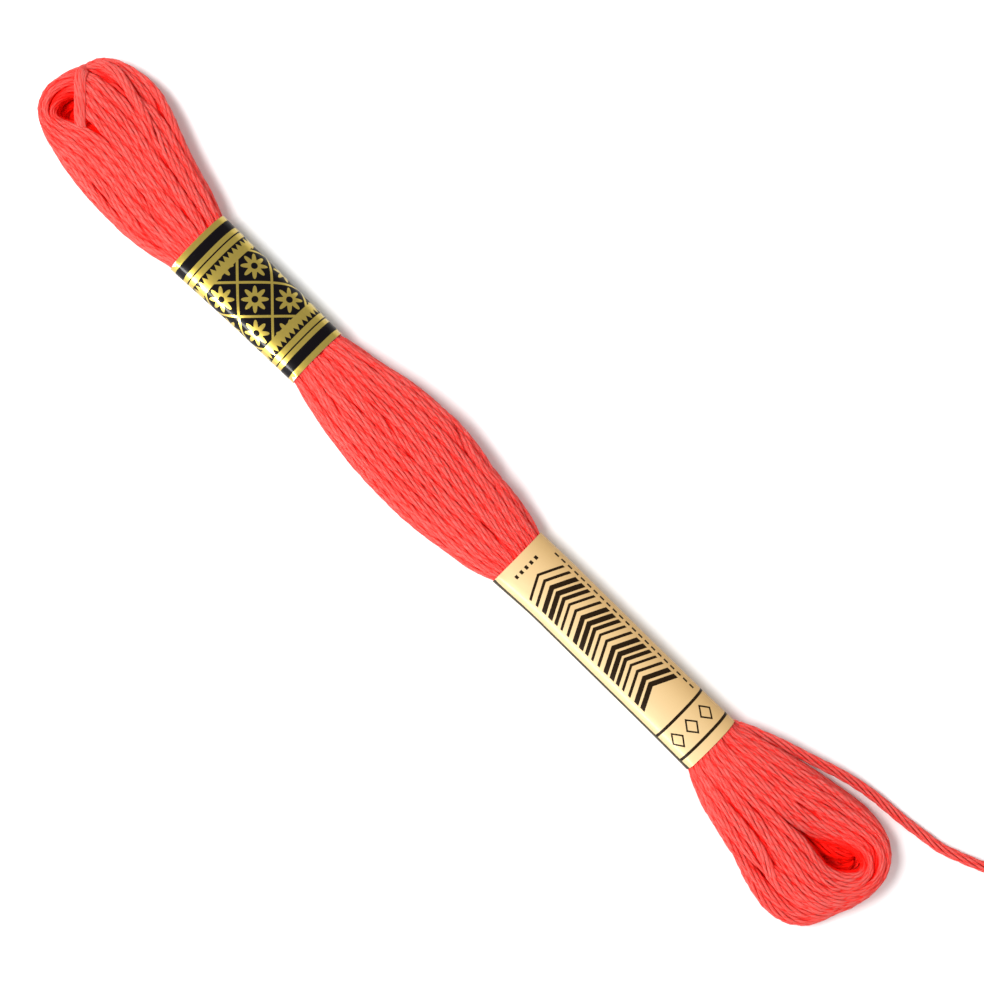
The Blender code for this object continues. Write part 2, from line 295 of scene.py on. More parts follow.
def eased(at, places, values):
    """Cubic curve through the values that never runs past them between two places."""
    width = np.diff(places)
    steep = np.diff(values) / width
    slope = np.zeros_like(values)
    same = steep[:-1] * steep[1:] > 0
    mean = 2 * steep[:-1] * steep[1:] / np.where(same, steep[:-1] + steep[1:], 1)
    slope[1:-1] = np.where(same, mean, 0)
    slope[0], slope[-1] = steep[0], steep[-1]
    i = np.clip(np.searchsorted(places, at, side="right") - 1, 0, len(width) - 1)
    t = (at - places[i]) / width[i]
    rise = values[i] * (1 + 2 * t) * (1 - t) ** 2 + values[i + 1] * (3 - 2 * t) * t**2
    return rise + width[i] * t * (1 - t) * (slope[i] * (1 - t) - slope[i + 1] * t)


def flowing(knots, count):
    """Smooth curve through the knots, each one the same share of the way."""
    table = np.array(knots, float)
    slope = np.gradient(table, axis=0)
    way = np.linspace(0, len(table) - 1, count)
    i = np.minimum(way.astype(int), len(table) - 2)
    t = (way - i)[:, None]
    rise = table[i] * (1 + 2 * t) * (1 - t) ** 2 + table[i + 1] * (3 - 2 * t) * t**2
    return rise + t * (1 - t) * (slope[i] * (1 - t) - slope[i + 1] * t)


def travelled(paths):
    """Length from each path's start to each of its points."""
    steps = np.linalg.norm(np.diff(paths, axis=-2), axis=-1)
    return np.concatenate([np.zeros_like(steps[..., :1]), np.cumsum(steps, -1)], -1)


def frames(paths):
    """Across and up vectors at each point of each path, square to its direction."""
    ahead = np.gradient(paths, axis=-2)
    ahead /= np.linalg.norm(ahead, axis=-1, keepdims=True)
    across = np.cross((0, 0, 1), ahead)
    across /= np.linalg.norm(across, axis=-1, keepdims=True)
    return across, np.cross(ahead, across)


SIDES = 6  # corners of a tube's ring
MAP_GAP = 7.3  # millimetres along the map from one tube's start to the next


def tubes(name, paths, radius, finish, open_share=1.0):
    """A tube along each path: each point of a path carries a ring of corners,
    point + radius (cos a across + sin a up), and each tube's ends are drawn in to close.
    The open share is how much light reaches each point of a path, 0 to 1; where it is low,
    the floss's colour gets painted shade."""
    count, stations = paths.shape[:2]
    across, up = (v[:, :, None] for v in frames(paths))
    angle = (np.arange(SIDES) * math.tau / SIDES)[:, None]
    radius = np.broadcast_to(radius, (count, stations)).copy()
    radius[:, [0, -1]] = 0
    ring = radius[:, :, None, None] * (np.cos(angle) * across + np.sin(angle) * up)
    points = paths[:, :, None] + ring
    tube, station, side = np.indices((count, stations - 1, SIDES))
    corner = np.array([(0, 0), (0, 1), (1, 1), (1, 0)])
    at = station[..., None] + corner[:, 0]
    turn = side[..., None] + corner[:, 1]
    faces = (tube[..., None] * stations + at) * SIDES + turn % SIDES
    along = travelled(paths)[tube[..., None], at]
    light = np.broadcast_to(open_share, (count, stations))[tube[..., None], at]
    maps = [
        ("thread", np.stack([along + tube[..., None] * MAP_GAP, turn / SIDES], -1)),
        ("open", np.stack([light, 0 * light], -1)),
    ]
    return surface(name, points, faces, finish, maps)


# ---- loose end

STRANDS = 6
STRAND_RADIUS = 0.235
TWIST = 15.0  # length in which a thread's strands go once round it
THREAD_DIAMETER = 1.6
LOOSE_POINTS, ROOT_POINTS = 110, 41
ROOT_WIDTH = 0.5  # share of its width that the thread has under the band
PARTING_X, PARTING_LENGTH = 52.0, 3.5  # where it widens to the whole of it

LOOSE_END = (
    # x, y, z
    (52.8, 4.75, 3.6),
    (56.4, 6.05, 3.45),
    (59.3, 7.15, 3.15),
    (62.2, 8.05, 2.8),
    (65.6, 9.1, 2.35),
    (68.6, 10.05, 1.95),
    (71.8, 10.85, 1.55),
    (75.2, 11.4, 1.2),
    (78.2, 11.65, 0.95),
    (81, 11.9, 0.85),
    (84, 12.3, 0.82),
    (87.2, 12.75, 0.82),
    (89.8, 13.6, 0.82),
    (93.3, 15, 0.82),
    (96.6, 16.55, 0.82),
    (100.2, 17.75, 0.82),
    (104.4, 18.1, 0.82),
)
ROOT = (
    # x, y, z under the long band
    (48.6, 3.5, 3.7),
    (50, 3.55, 3.7),
    (51.4, 3.75, 3.68),
)


def laid_strands(path, radius):
    """The strands of a thread along its path: point + radius (cos a across + sin a up),
    where a grows by a whole turn for each TWIST of length, a share apart for each strand."""
    across, up = frames(path)
    turns = travelled(path) / TWIST
    angle = math.tau * (turns + np.arange(STRANDS)[:, None] / STRANDS)[..., None]
    return path + radius * (np.cos(angle) * across + np.sin(angle) * up)


def make_loose_end(floss):
    """The thread's strands from under the long band outwards, drawn together at its mouth.
    What lies outside the band is the loose end, and the rest of it is the root."""
    loose = flowing(LOOSE_END, LOOSE_POINTS)
    held = flowing(ROOT + LOOSE_END[:2], ROOT_POINTS)
    first = np.argmin(np.linalg.norm(held - loose[0], axis=1))
    path = np.concatenate([held[:first], loose])
    spread = smoothstep((path[:, :1] - PARTING_X) / PARTING_LENGTH)
    spread = ROOT_WIDTH + (1 - ROOT_WIDTH) * spread
    strands = laid_strands(path, (THREAD_DIAMETER / 2 - STRAND_RADIUS) * spread)
    strands = np.concatenate([strands, path[None]])
    root = tubes("thread_root", strands[:, : first + 2], STRAND_RADIUS, floss)
    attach(root, "root")
    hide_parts("skein")
    thread = tubes("loose_thread", strands[:, first:], STRAND_RADIUS, floss)
    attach(thread, "root")
    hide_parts("loose_end")
    (loose * MM).tolist()


# ---- course of the thread

PAPER, SLACK = 0.12, 0.02  # thickness of a band's paper, and the gap in its lap
WALL = 2 * PAPER + SLACK  # where the paper overlaps itself
TURNS = 24
SQUARENESS = 2.35  # 2 is an ellipse, and more is a fuller oval

SHORT_BAND = (
    # x, minus Y edge, plus Y edge, underside, top
    (-52.45, -5.8, 5.2, 0.3, 7.2),
    (-40.8, -5.35, 5.1, 0.3, 7.1),
    (-28.2, -5.1, 5, 0.3, 7),
)
LONG_BAND = (
    # x, minus Y edge, plus Y edge, underside, top
    (12.85, -5.35, 4.7, 0.3, 6.9),
    (22, -4.95, 4.8, 0.3, 6.8),
    (43, -4.95, 4.8, 0.3, 6.8),
    (52.25, -5.05, 4.9, 0.3, 6.9),
)
BODY = (
    # x, minus Y edge, crown, plus Y edge, underside, top
    (-76, -5.9, 1, 12.1, -0.5, 6.4),
    (-73.6, -6.25, 0.9, 12.3, -0.5, 6.6),
    (-70.7, -6.7, 0.9, 11.6, -0.5, 6.8),
    (-67.7, -6.9, 0.9, 10.5, -0.5, 7),
    (-64.8, -7, 0.7, 9.35, -0.5, 7.3),
    (-61.9, -7, 0.6, 8.2, -0.4, 7.6),
    (-59, -6.8, 0.25, 7.3, -0.2, 7.7),
    (-56.1, -6.4, 0, 6.4, 0.1, 7.6),
    (-53.8, -5.8, -0.15, 5.5, 0.3, 7.2),
    (-27, -5.2, -0.05, 5.1, 0.3, 7.05),
    (-25.4, -5.7, -0.1, 5.45, 0.2, 7.3),
    (-22.5, -6.3, -0.2, 5.85, -0.1, 7.7),
    (-19.6, -6.9, -0.25, 6.4, -0.3, 8),
    (-16.6, -7.35, -0.15, 7.05, -0.5, 8.2),
    (-12.5, -7.85, -0.1, 7.6, -0.6, 8.4),
    (-7.9, -8.1, -0.1, 7.9, -0.6, 8.5),
    (-3.5, -8.05, -0.25, 7.5, -0.6, 8.45),
    (1, -7.65, -0.4, 6.9, -0.5, 8.2),
    (5.3, -7, -0.4, 6.25, -0.3, 7.8),
    (9, -6.45, -0.4, 5.6, -0.1, 7.4),
    (11.6, -5.6, -0.3, 4.95, 0.3, 6.95),
    (53.5, -5.45, -0.5, 5.1, 0.3, 6.95),
    (56.4, -6.9, -0.6, 5.75, 0.1, 7.3),
    (59.3, -7.75, -0.6, 6.6, -0.2, 7.6),
    (62.2, -8.45, -0.5, 7.3, -0.4, 7.7),
    (65, -9.5, -0.4, 7.95, -0.5, 7.6),
    (67.5, -10.5, -0.3, 8.35, -0.5, 7.5),
)

# The two end loops, each from the minus side round the tip to the plus side: a point of
# the eye's edge, the point of the outline facing it, and the threads' height near both.
# The short end's outer threads lie from the share "rim from" outwards, and the others
# reach the share "fan to". The long end's upper threads reach the share "upper to", over
# lower threads of the height "lower top".
SHORT_END_LOOP = (
    # eye x, eye y, outline x, outline y, height by eye, by outline, rim from, fan to
    (-76, 1, -76, -5.9, 6.4, 6.4, 0.3, 1),
    (-77.4, -0.5, -77.9, -5.45, 6.3, 6.3, 0.35, 1),
    (-78.2, -1.4, -80, -4.85, 6.1, 6.1, 0.4, 1),
    (-79.3, -1.5, -82, -3.9, 5.9, 5.9, 0.4, 1),
    (-80.2, -1, -83.4, -2.1, 5.7, 5.7, 0.4, 1),
    (-80.6, 0.1, -84.2, 0.4, 5.6, 5.6, 0.4, 1),
    (-80.5, 1.2, -84.2, 3, 5.4, 5.3, 0.45, 1),
    (-80.2, 2, -83.4, 5.1, 5.3, 4.7, 0.6, 0.92),
    (-79.7, 2.3, -82.5, 6.9, 5.5, 4.9, 0.76, 0.68),
    (-78.9, 2.3, -82.3, 9.2, 5.9, 5.5, 0.8, 0.57),
    (-78, 2, -80.9, 11, 6.2, 5.8, 0.81, 0.6),
    (-77, 1.6, -78.6, 12, 6.4, 6.2, 0.81, 0.65),
    (-76, 1, -76, 12.1, 6.4, 6.4, 0.82, 0.74),
)
LONG_END_LOOP = (
    # eye x, eye y, outline x, outline y, height by eye, by outline, upper to, lower top
    (67.5, -0.3, 67.5, -10.6, 7.5, 7.5, 0.84, 5.6),
    (70.5, -0.5, 70.9, -11.5, 7.5, 7, 0.73, 5),
    (73.5, -0.9, 74.2, -12, 7.5, 6.8, 0.67, 4.6),
    (76, -0.7, 77.5, -11.65, 7.4, 6.7, 0.66, 4.4),
    (77.8, -0.1, 80.2, -10.2, 7.3, 6.6, 0.7, 4.2),
    (79, 0.6, 81.9, -7.5, 7.1, 6.5, 0.82, 4.2),
    (79.7, 1.4, 82.9, -4.6, 6.8, 6.4, 0.97, 4),
    (80, 2, 84, -0.8, 6.5, 6.4, 1, 3.6),
    (79.9, 2.6, 84.2, 2.4, 5.6, 6.5, 1, 3.2),
    (79.4, 3, 83.5, 5.5, 5, 6.6, 1, 3),
    (78.5, 3.1, 81.9, 7.6, 4.6, 6.8, 1, 3),
    (77, 2.7, 79.5, 8.9, 4.5, 7, 1, 3.2),
    (74.8, 1.7, 76.1, 9.45, 4.8, 7.2, 1, 3.4),
    (72.3, 0.6, 72.8, 9.3, 5.5, 7.3, 1, 3.8),
    (69.8, -0.1, 69.9, 8.75, 6.7, 7.4, 1, 4),
    (67.5, -0.3, 67.5, 8.35, 7.5, 7.5, 1, 4),
)
SHORT_LOOP_STEPS, LONG_LOOP_STEPS = 24, 38
OPEN_STEP, HELD_STEP = 1.25, 2.6  # length between two sections, free and under a band
START_X = 32.5  # where the thread's turns begin and end, under the long band
OVAL_AREA = 0.825  # share of its box that a section's oval fills

COLUMNS = (5, 5, 5, 5, 4)  # threads of one leg, column by column from the middle outwards
FIRST_COLUMN, COLUMN_SPAN, COLUMN_RISE = 0.08, 0.85, 0.85  # shares of an oval's half size
UNDER_SHORT_EYE, UNDER_LONG_EYE = -2.2, -3.0  # how far the lowest threads reach past the eye
RIM_THREADS, LOWER_THREADS = 7, 11  # the short end's outer ones, the long end's lower ones
RIM_TILT, LOWER_TILT = 0.1, 0.9  # weight that the other direction has in their order
LOW_BELOW = -0.35  # the short end's low threads are those that start under this height
SOLE_WITHIN, SOLE_TO = 0.4, 0.5  # the long end's lowest: where they start and reach
FLATTENED = -0.5  # underside of an oval that the table flattens
SHORT_LOW_TOP, SHORT_UPPER_FROM, LONG_UPPER_FROM = 2.8, 1.4, 2.0  # heights of both layers
LAYER_OVERLAP = 0.25  # share by which the long end's lower threads reach under the upper
LINE_EVENING, OVAL_EVENING = (4.0, 24), (5.0, 40)  # reach in stations, and rounds
EVEN_STARTS, EVEN_THREADS, EVEN_LIGHT = 10, 4, 2  # rounds along the thread
LEAST_HALF = 0.2  # least half size of an oval that holds a strand

SEED = 15
WANDER_WAVES, WANDER_PEAK = (53.0, 79.0, 127.0), 1.8  # lengths, and their sum's height
WANDER_OUT, WANDER_UP = 0.13, 0.22  # shares of an oval's half size

THREAD_WIDTH = 1.75  # of a thread in the skein, where it has room
THREAD_REACH, THREAD_INSET, THREAD_ROUNDS = 0.98, 0.48, 120
STRAND_SHARE = 0.49  # radius of a strand over its share of the thread's room
STRAND_REACH, STRAND_REACH_MOST, STRAND_ROUNDS = 1.06, 0.64, 50
SWELL, SWELL_WAVES = 0.1, (5.3, 8.9, 14.9)
FULLNESS = 1.2  # a strand's fibres stand a little into its neighbours'
FULLEST = 1.32  # its largest radius over its plain one
PUSH_SHARE = 0.3  # of what is missing between two strands, made up in one round
TINY = 1e-4  # added to a distance that is divided by
PIECES = 4

SIGHT, DIRECTIONS = 4.0, 16  # how far a strand's surroundings reach, and how many ways
HIDDEN, OPEN = 0.03, 0.25  # share of free directions of a hidden strand, which gets the whole painted shade, and of an open one, which gets none
PIT_TOP, PIT_DEPTH, PIT_REACH = 6.6, 2.2, 3.4  # where an eye deepens the painted shade of its threads: below this height, over this depth, and this far beyond its edge
PIT_SHADE = 0.85  # the most by which it deepens the painted shade, as a share of the light
ITSELF = 0.01  # a place nearer than this is the same one


def body_sections():
    """The free and held sections: x, minus edge, crown, plus edge, underside, top."""
    held = [
        (x, low + WALL, (low + high) / 2, high - WALL, under + WALL, top - WALL)
        for x, low, high, under, top in SHORT_BAND + LONG_BAND
    ]
    places, *edges = np.array(sorted(BODY + tuple(held))).T
    stops = (BODY[0][0], SHORT_BAND[0][0], SHORT_BAND[-1][0])
    stops += (LONG_BAND[0][0], LONG_BAND[-1][0], BODY[-1][0])
    x = [stops[:1]]
    for i, (start, end) in enumerate(zip(stops, stops[1:])):
        step = HELD_STEP if i in (1, 3) else OPEN_STEP
        x.append(np.linspace(start, end, round((end - start) / step) + 1)[1:])
    x = np.concatenate(x)
    return [x] + [eased(x, places, values) for values in edges]


def threads_of_leg():
    """Each thread's share from the middle outwards, and from the lowest to the highest,
    -1 to 1. One column is numbered upwards and the next downwards."""
    out, high = [], []
    for i, count in enumerate(COLUMNS):
        share = FIRST_COLUMN + COLUMN_SPAN * i / (len(COLUMNS) - 1)
        reach = COLUMN_RISE * (1 - share**SQUARENESS) ** (1 / SQUARENESS)
        row = np.linspace(-reach, reach, count)
        out.append(np.full(count, share))
        high.append(row if i % 2 == 0 else row[::-1])
    return np.concatenate(out), np.concatenate(high)


def wander(way, rng, waves=WANDER_WAVES):
    """Slow waves along the thread, whose lengths fit no turn of it, at most about 1."""
    phase = rng.uniform(0, math.tau, len(waves))
    return sum(np.sin(math.tau * way / w + p) for w, p in zip(waves, phase)) / WANDER_PEAK


class Skein:
    """The thread's sections. A place in a section is a distance out from the skein's
    middle, or from the eye in a loop, and a height. Stations run with the thread: along
    the plus side, round the short end, back along the minus side and round the long end."""

    def __init__(self):
        self.x, minus, crown, plus, under, top = body_sections()
        count = len(self.x)
        short = flowing(SHORT_END_LOOP[::-1], SHORT_LOOP_STEPS)[1:-1]
        long = flowing(LONG_END_LOOP, LONG_LOOP_STEPS)[1:-1]
        first = int(np.argmin(np.abs(self.x - START_X)))
        down = np.arange(first, -1, -1)
        back = np.arange(count - 1, first, -1)
        ends = np.cumsum((len(down), len(short), count, len(long), len(back)))
        self.stations = int(ends[-1])
        self.short = np.arange(ends[0], ends[1])
        self.minus = np.arange(ends[1], ends[2])
        self.long = np.arange(ends[2], ends[3])
        self.plus = np.empty(count, int)
        self.plus[down] = np.arange(ends[0])
        self.plus[back] = np.arange(ends[3], ends[4])
        self.crown = crown
        self.sides = ((self.minus, -1), (self.plus, 1))
        # Middle line and outline of each station in X and Y.
        self.inner, self.outer = np.zeros((2, self.stations, 2))
        self.inner[self.minus] = self.inner[self.plus] = np.stack([self.x, crown], -1)
        self.outer[self.minus] = np.stack([self.x, minus], -1)
        self.outer[self.plus] = np.stack([self.x, plus], -1)
        self.hold_threads(short, long, under, top)
        self.inner[self.short], self.outer[self.short] = short[:, :2], short[:, 2:4]
        self.inner[self.long], self.outer[self.long] = long[:, :2], long[:, 2:4]
        for line in (self.inner.T, self.outer.T):
            self.round_joins(line, *LINE_EVENING)
        for values in (self.home, self.near, self.far, self.low, self.top, self.top_out):
            self.round_joins(values, *OVAL_EVENING)
        self.width = np.hypot(*(self.outer - self.inner).T)
        self.room()

    def round_joins(self, values, reach, rounds):
        """Even the values of all stations where the loops join the body, so that no thread
        has a kink there: each is drawn to its neighbours' mean, less with distance."""
        joins = [at[i] for at in (self.short, self.long) for i in (0, -1)]
        station = np.arange(self.stations)[:, None]
        near = np.exp(-((np.min(np.abs(station - joins), 1) / reach) ** 2))[1:-1]
        for _ in range(rounds):
            middle = values[..., 1:-1]
            middle += near * (values[..., :-2] + values[..., 2:] - 2 * middle) / 4

    def hold_threads(self, short, long, under, top):
        """Each thread's own oval in each station: distance out from near to far, as shares
        of the width, and height from low to top, which is top_out by the outline."""
        self.out, self.high = threads_of_leg()
        self.low, self.top, self.top_out, self.near = np.zeros((4, TURNS, self.stations))
        self.far = np.ones((TURNS, self.stations))
        for stations, _ in self.sides:
            self.low[:, stations] = under
            self.top[:, stations] = self.top_out[:, stations] = top
        rank = np.argsort(np.argsort(-self.out + RIM_TILT * self.high))
        low = (self.high < LOW_BELOW)[:, None]
        rim = (rank < RIM_THREADS)[:, None] & ~low
        wide = np.hypot(*(short[:, 2:4] - short[:, :2]).T)
        self.near[:, self.short] = np.where(rim, short[:, 6], UNDER_SHORT_EYE / wide * low)
        self.far[:, self.short] = np.where(rim | low, 1, short[:, 7])
        self.low[:, self.short] = np.where(rim | low, FLATTENED, SHORT_UPPER_FROM)
        under_rank = np.argsort(np.argsort(self.high - LOWER_TILT * self.out))
        lower = (under_rank < LOWER_THREADS)[:, None]
        sole = lower & (self.out < SOLE_WITHIN)[:, None]
        wide = np.hypot(*(long[:, 2:4] - long[:, :2]).T)
        inner = np.where(sole, UNDER_LONG_EYE / wide, long[:, 6] - LAYER_OVERLAP)
        self.near[:, self.long] = np.where(lower, inner, 0)
        self.far[:, self.long] = np.where(sole, SOLE_TO, np.where(lower, 1, long[:, 6]))
        self.low[:, self.long] = np.where(lower, FLATTENED, LONG_UPPER_FROM)
        for tops, column in ((self.top, 4), (self.top_out, 5)):
            tops[:, self.short] = np.where(low, SHORT_LOW_TOP, short[:, column])
            tops[:, self.long] = np.where(lower, long[:, 7], long[:, column])
        # Both legs share the body's oval, so a leg's own oval reaches past the middle.
        self.home = self.near.copy()
        self.near[:, self.minus] = self.near[:, self.plus] = -1

    def room(self):
        """Width of one thread in each station, if the threads fill its ovals evenly."""
        tall = self.top.max(0) - np.maximum(self.low.min(0), 0)
        area = OVAL_AREA * self.width * tall / TURNS
        body = (area[self.minus] + area[self.plus]) / 2
        area[self.minus] = area[self.plus] = body
        self.thread = np.sqrt(area)

    def starts(self):
        """Where each thread begins, before the threads part: its share of each station's
        width and height, with a slow wander, made even where one turn leads to the next."""
        rng = np.random.default_rng(SEED)
        way = np.arange(TURNS * self.stations).reshape(TURNS, -1) * OPEN_STEP
        loose = 1 - self.out[:, None] ** 4
        out = self.out[:, None] + WANDER_OUT * loose * wander(way, rng)
        high = self.high[:, None] + WANDER_UP * wander(way, rng)
        out = (self.home + (self.far - self.home) * out) * self.width
        low, top = np.maximum(self.low, 0), self.top
        high = (low + top) / 2 + (top - low) / 2 * high
        place = np.stack([out, high], -1)
        return self.evened(place, EVEN_STARTS)

    def evened(self, place, rounds):
        """The places with each drawn towards the mean of its two neighbours on the thread."""
        chain = place.reshape(-1, *place.shape[2:])
        for _ in range(rounds):
            chain[1:-1] += (chain[:-2] + chain[2:] - 2 * chain[1:-1]) / 4
        return chain.reshape(place.shape)

    def held(self, place, inset):
        """The places with those that lie outside their ovals, less the inset, drawn back
        onto them."""
        extra = (None,) * (place.ndim - 3)
        low, near, far = (v[(..., *extra)] for v in (self.low, self.near, self.far))
        width, inset = self.width[(..., *extra)], inset[(..., *extra)]
        share = np.clip(place[..., 0] / width, 0, 1)
        top, top_out = self.top[(..., *extra)], self.top_out[(..., *extra)]
        top = top + (top_out - top) * share
        half_out = np.maximum((far - near) / 2 * width - inset, LEAST_HALF)
        half_up = np.maximum((top - low) / 2 - inset, LEAST_HALF)
        middle_out, middle_up = (far + near) / 2 * width, (top + low) / 2
        out, up = (place[..., 0] - middle_out) / half_out, (place[..., 1] - middle_up) / half_up
        size = (np.abs(out) ** SQUARENESS + np.abs(up) ** SQUARENESS) ** (1 / SQUARENESS)
        back = 1 / np.maximum(size, 1)
        place[..., 0] = middle_out + out * back * half_out
        place[..., 1] = np.maximum(middle_up + up * back * half_up, inset * FULLEST)
        return place

    def body_rows(self, place):
        """Y and height of the places in the body's sections, each with both its legs."""
        across = [rows(place[..., 0], at) * sign + self.crown[:, None] for at, sign in self.sides]
        heights = [rows(place[..., 1], at) for at, _ in self.sides]
        return np.hstack(across), np.hstack(heights)

    def parted(self, place, reach):
        """How far each place moves so that no two of a section are nearer than reach."""
        body = push(*self.body_rows(place), reach[self.minus])
        sideways, upwards = np.zeros(place.shape[:-1]), np.zeros(place.shape[:-1])
        for i, (at, sign) in enumerate(self.sides):
            go, rise = (np.split(moves, 2, axis=1)[i] for moves in body)
            sideways[:, at] = unrows(go * sign, sideways.shape)
            upwards[:, at] = unrows(rise, upwards.shape)
        for at in (self.short, self.long):
            go, rise = push(rows(place[..., 0], at), rows(place[..., 1], at), reach[at])
            sideways[:, at] = unrows(go, sideways.shape)
            upwards[:, at] = unrows(rise, upwards.shape)
        return np.stack([sideways, upwards], -1)

    def light(self, place):
        """How open each place is, 0 to 1: its share of free directions, less down in an eye,
        where it falls with the depth and rises with the distance beyond its edge. Where it is
        low, the floss's colour gets painted shade."""
        share = np.zeros(place.shape[:-1])
        body = free_directions(*self.body_rows(place))
        for (at, _), part in zip(self.sides, np.split(body, 2, axis=1)):
            share[:, at] = unrows(part, share.shape)
        for at in (self.short, self.long):
            out, height = rows(place[..., 0], at), rows(place[..., 1], at)
            beyond = np.maximum(out, 0) / PIT_REACH
            sunk = smoothstep((PIT_TOP - height) / PIT_DEPTH) * np.exp(-(beyond**2))
            part = free_directions(out, height) * (1 - PIT_SHADE * sunk)
            share[:, at] = unrows(part, share.shape)
        return self.evened(smoothstep((share - HIDDEN) / (OPEN - HIDDEN)), EVEN_LIGHT)

    def settled(self, place, reach, inset, rounds):
        """The places after rounds of parting, each with its moves evened along the thread
        and with the places held in their ovals."""
        start = place.copy()
        for _ in range(rounds):
            moved = place - start + self.parted(place, reach)
            place = self.held(start + self.evened(moved, 1), inset)
        return place

    def in_space(self, place):
        """Points in X, Y and Z of the places."""
        extra = (None,) * (place.ndim - 3)
        ahead = ((self.outer - self.inner) / self.width[:, None])[(slice(None), *extra)]
        level = self.inner[(slice(None), *extra)] + ahead * place[..., :1]
        return np.concatenate([level, place[..., 1:]], -1)


def rows(values, at):
    """One row of values for each of these stations, over all turns and strands."""
    return np.moveaxis(values[:, at], 1, 0).reshape(len(at), -1)


def unrows(values, shape):
    """The reverse of rows, for values that have this shape over all stations."""
    return np.moveaxis(values.reshape(-1, shape[0], *shape[2:]), 0, 1)


def pairs(across, height):
    """From each point of a row to each other one: across, up, and the distance."""
    go, rise = (v[:, None] - v[:, :, None] for v in np.float32([across, height]))
    return go, rise, np.sqrt(go * go + rise * rise) + TINY


def push(across, height, reach):
    """Moves that part the points of each row: each pair nearer than reach goes apart by
    a share of what is missing, along the line between the two."""
    go, rise, apart = pairs(across, height)
    short = PUSH_SHARE * np.maximum(reach[:, None, None].astype(np.float32) / apart - 1, 0)
    return -(go * short).sum(2), -(rise * short).sum(2)


def free_directions(across, height):
    """For each point of each row, the share of directions in which no other point of the
    row lies within SIGHT: one at distance d takes up the angle asin(radius / d) each way."""
    go, rise, apart = pairs(across, height)
    taken = np.arcsin(np.minimum(STRAND_RADIUS / apart, 1))
    taken[(apart > SIGHT) | (apart < ITSELF)] = -1
    bearing = np.arctan2(rise, go)
    free = np.zeros(across.shape)
    for direction in np.arange(DIRECTIONS) * math.tau / DIRECTIONS:
        off = np.abs((bearing - direction + math.pi) % math.tau - math.pi)
        free += ~(off < taken).any(2)
    return free / DIRECTIONS


def strand_courses(skein):
    """Points of every strand: threads settle first, then six strands are laid round each,
    at out - r cos a and height + r sin a, and settle among all the others."""
    thread = np.minimum(skein.thread, THREAD_WIDTH)
    reach, inset = thread * THREAD_REACH, thread * THREAD_INSET
    place = skein.settled(skein.starts(), reach, inset, THREAD_ROUNDS)
    place = skein.evened(place, EVEN_THREADS)
    path = skein.in_space(place).reshape(-1, 3)
    room = skein.thread / math.sqrt(STRANDS)
    strand = np.minimum(STRAND_RADIUS, room * STRAND_SHARE)
    radius = np.maximum(thread / 2 - strand, strand)[None, :, None]
    turn = (travelled(path) / TWIST).reshape(TURNS, -1, 1) + np.arange(STRANDS) / STRANDS
    angle = math.tau * turn
    around = radius[..., None] * np.stack([-np.cos(angle), np.sin(angle)], -1)
    strands = place[:, :, None] + around
    reach = np.minimum(room * STRAND_REACH, STRAND_REACH_MOST)
    strands = skein.settled(strands, reach, strand, STRAND_ROUNDS)
    points = skein.in_space(strands)
    paths = np.moveaxis(points, 2, 0).reshape(STRANDS, -1, 3)
    light = np.moveaxis(skein.light(strands), 2, 0).reshape(STRANDS, -1)
    rng = np.random.default_rng(SEED + 1)
    way = np.arange(paths.shape[1]) * OPEN_STEP
    swell = [1 + SWELL * wander(way, rng, SWELL_WAVES) for _ in range(STRANDS)]
    return paths, FULLNESS * np.array(swell) * np.tile(strand, TURNS), light


def make_skein(floss):
    """Tubes along the strands' courses, in pieces of whole turns of the thread."""
    skein = Skein()
    paths, radius, light = strand_courses(skein)
    length = TURNS // PIECES * skein.stations
    for i in range(PIECES):
        part = slice(i * length, min((i + 1) * length + 1, paths.shape[1]))
        piece = tubes(f"turns_{i + 1}", paths[:, part], radius[:, part], floss, light[:, part])
        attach(piece, "root")
        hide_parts("skein")


# ---- the strap and the loops beneath

STRAP = (
    # x, y, z of the one turn that crosses over the short end's eye
    (-79.2, 6.4, 1.6),
    (-80.8, 6.5, 2.6),
    (-81.7, 6.3, 3.7),
    (-81.7, 5.8, 4.8),
    (-81, 4.8, 5.5),
    (-79.7, 3.4, 5.9),
    (-78.2, 1.9, 6.1),
    (-76.7, 0.5, 6),
    (-75.2, -0.7, 5.4),
    (-73.6, -1.7, 4.3),
    (-71.8, -2.5, 3.2),
)
STRAP_HALF = (0.68, 0.52)  # half its width at its two ends, to the outer strands' middles
STRAP_DOME = 0.14  # how far its middle stands above its edges
STRAP_POINTS, STRAP_FULLNESS = 60, 1.12
STRAP_SWAY, STRAP_WAVE = 0.09, 0.9  # share of half its width, and radians a millimetre

UNDER_LOOPS = (
    # x where they start, their middle's y there, x and y of the tip, height
    (-68, 1.2, -81.6, 0.5, 0.75),
    (66, -1, 81.4, 2.2, 0.75),
)
UNDER_COUNT, UNDER_STEP = 6, 0.5  # nested loops, and the distance between two of them
UNDER_POINTS, UNDER_FULLNESS = 60, 1.1
UNDER_TIP = 0.25  # share of the way that goes round the tip
UNDER_BACK = 3.2  # from the tip back to the middle of the arcs
UNDER_SWAY, UNDER_WAVES = 0.12, (9, 5)  # along them, and from one to the next
UNDER_OPEN = 0.1  # share of light that reaches them; their colour is mostly the painted shade of closed-in strands
